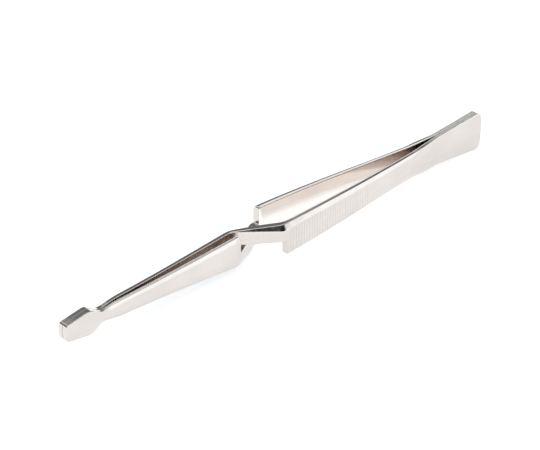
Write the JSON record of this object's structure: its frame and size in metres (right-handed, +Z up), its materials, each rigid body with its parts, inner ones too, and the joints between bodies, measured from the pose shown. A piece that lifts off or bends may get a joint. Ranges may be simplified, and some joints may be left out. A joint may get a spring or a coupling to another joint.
{
  "type": "cross-action stamp tongs",
  "caption": "Self-closing cross-action stamp tongs with flat spade tips, grooved grips and a flared welded tail.",
  "frame": {"origin": "centre of the bounding box's bottom face: the tongs stand on their long edges on z = 0, with the two legs' meeting plane at y = 0", "axes": "+X along the tongs, from the spade tips towards the welded tail; +Y across, from the near handle to the far handle; +Z up, across the width of the strips"},
  "size_m": [0.16, 0.0144, 0.0129],
  "materials": {
    "nickel_plated_steel": "polished nickel plate with fine lengthwise polishing lines"
  },
  "bodies": {
    "welded_tail": {"near_leg_tail": "nickel_plated_steel", "far_leg_tail": "nickel_plated_steel"},
    "near_arm": {"near_leg_arm": "nickel_plated_steel"},
    "far_arm": {"far_leg_arm": "nickel_plated_steel"}
  },
  "joints": [
    {"name": "near_leg_flex", "type": "hinge", "parent": "welded_tail", "child": "near_arm", "pos_m": [0.056, -0.00118, 0.00645], "axis": [0, 0, -1], "range_deg": [0, 4.4], "stiffness_Nm_per_rad": 2, "springref_deg": -3.44},
    {"name": "far_leg_flex", "type": "hinge", "parent": "welded_tail", "child": "far_arm", "pos_m": [0.056, 0.00118, 0.00645], "axis": [0, 0, 1], "range_deg": [0, 4.4], "stiffness_Nm_per_rad": 2, "springref_deg": -3.44}
  ],
  "couplings": [
    {"joint": "far_leg_flex", "follows": "near_leg_flex", "ratio": 1}
  ]
}
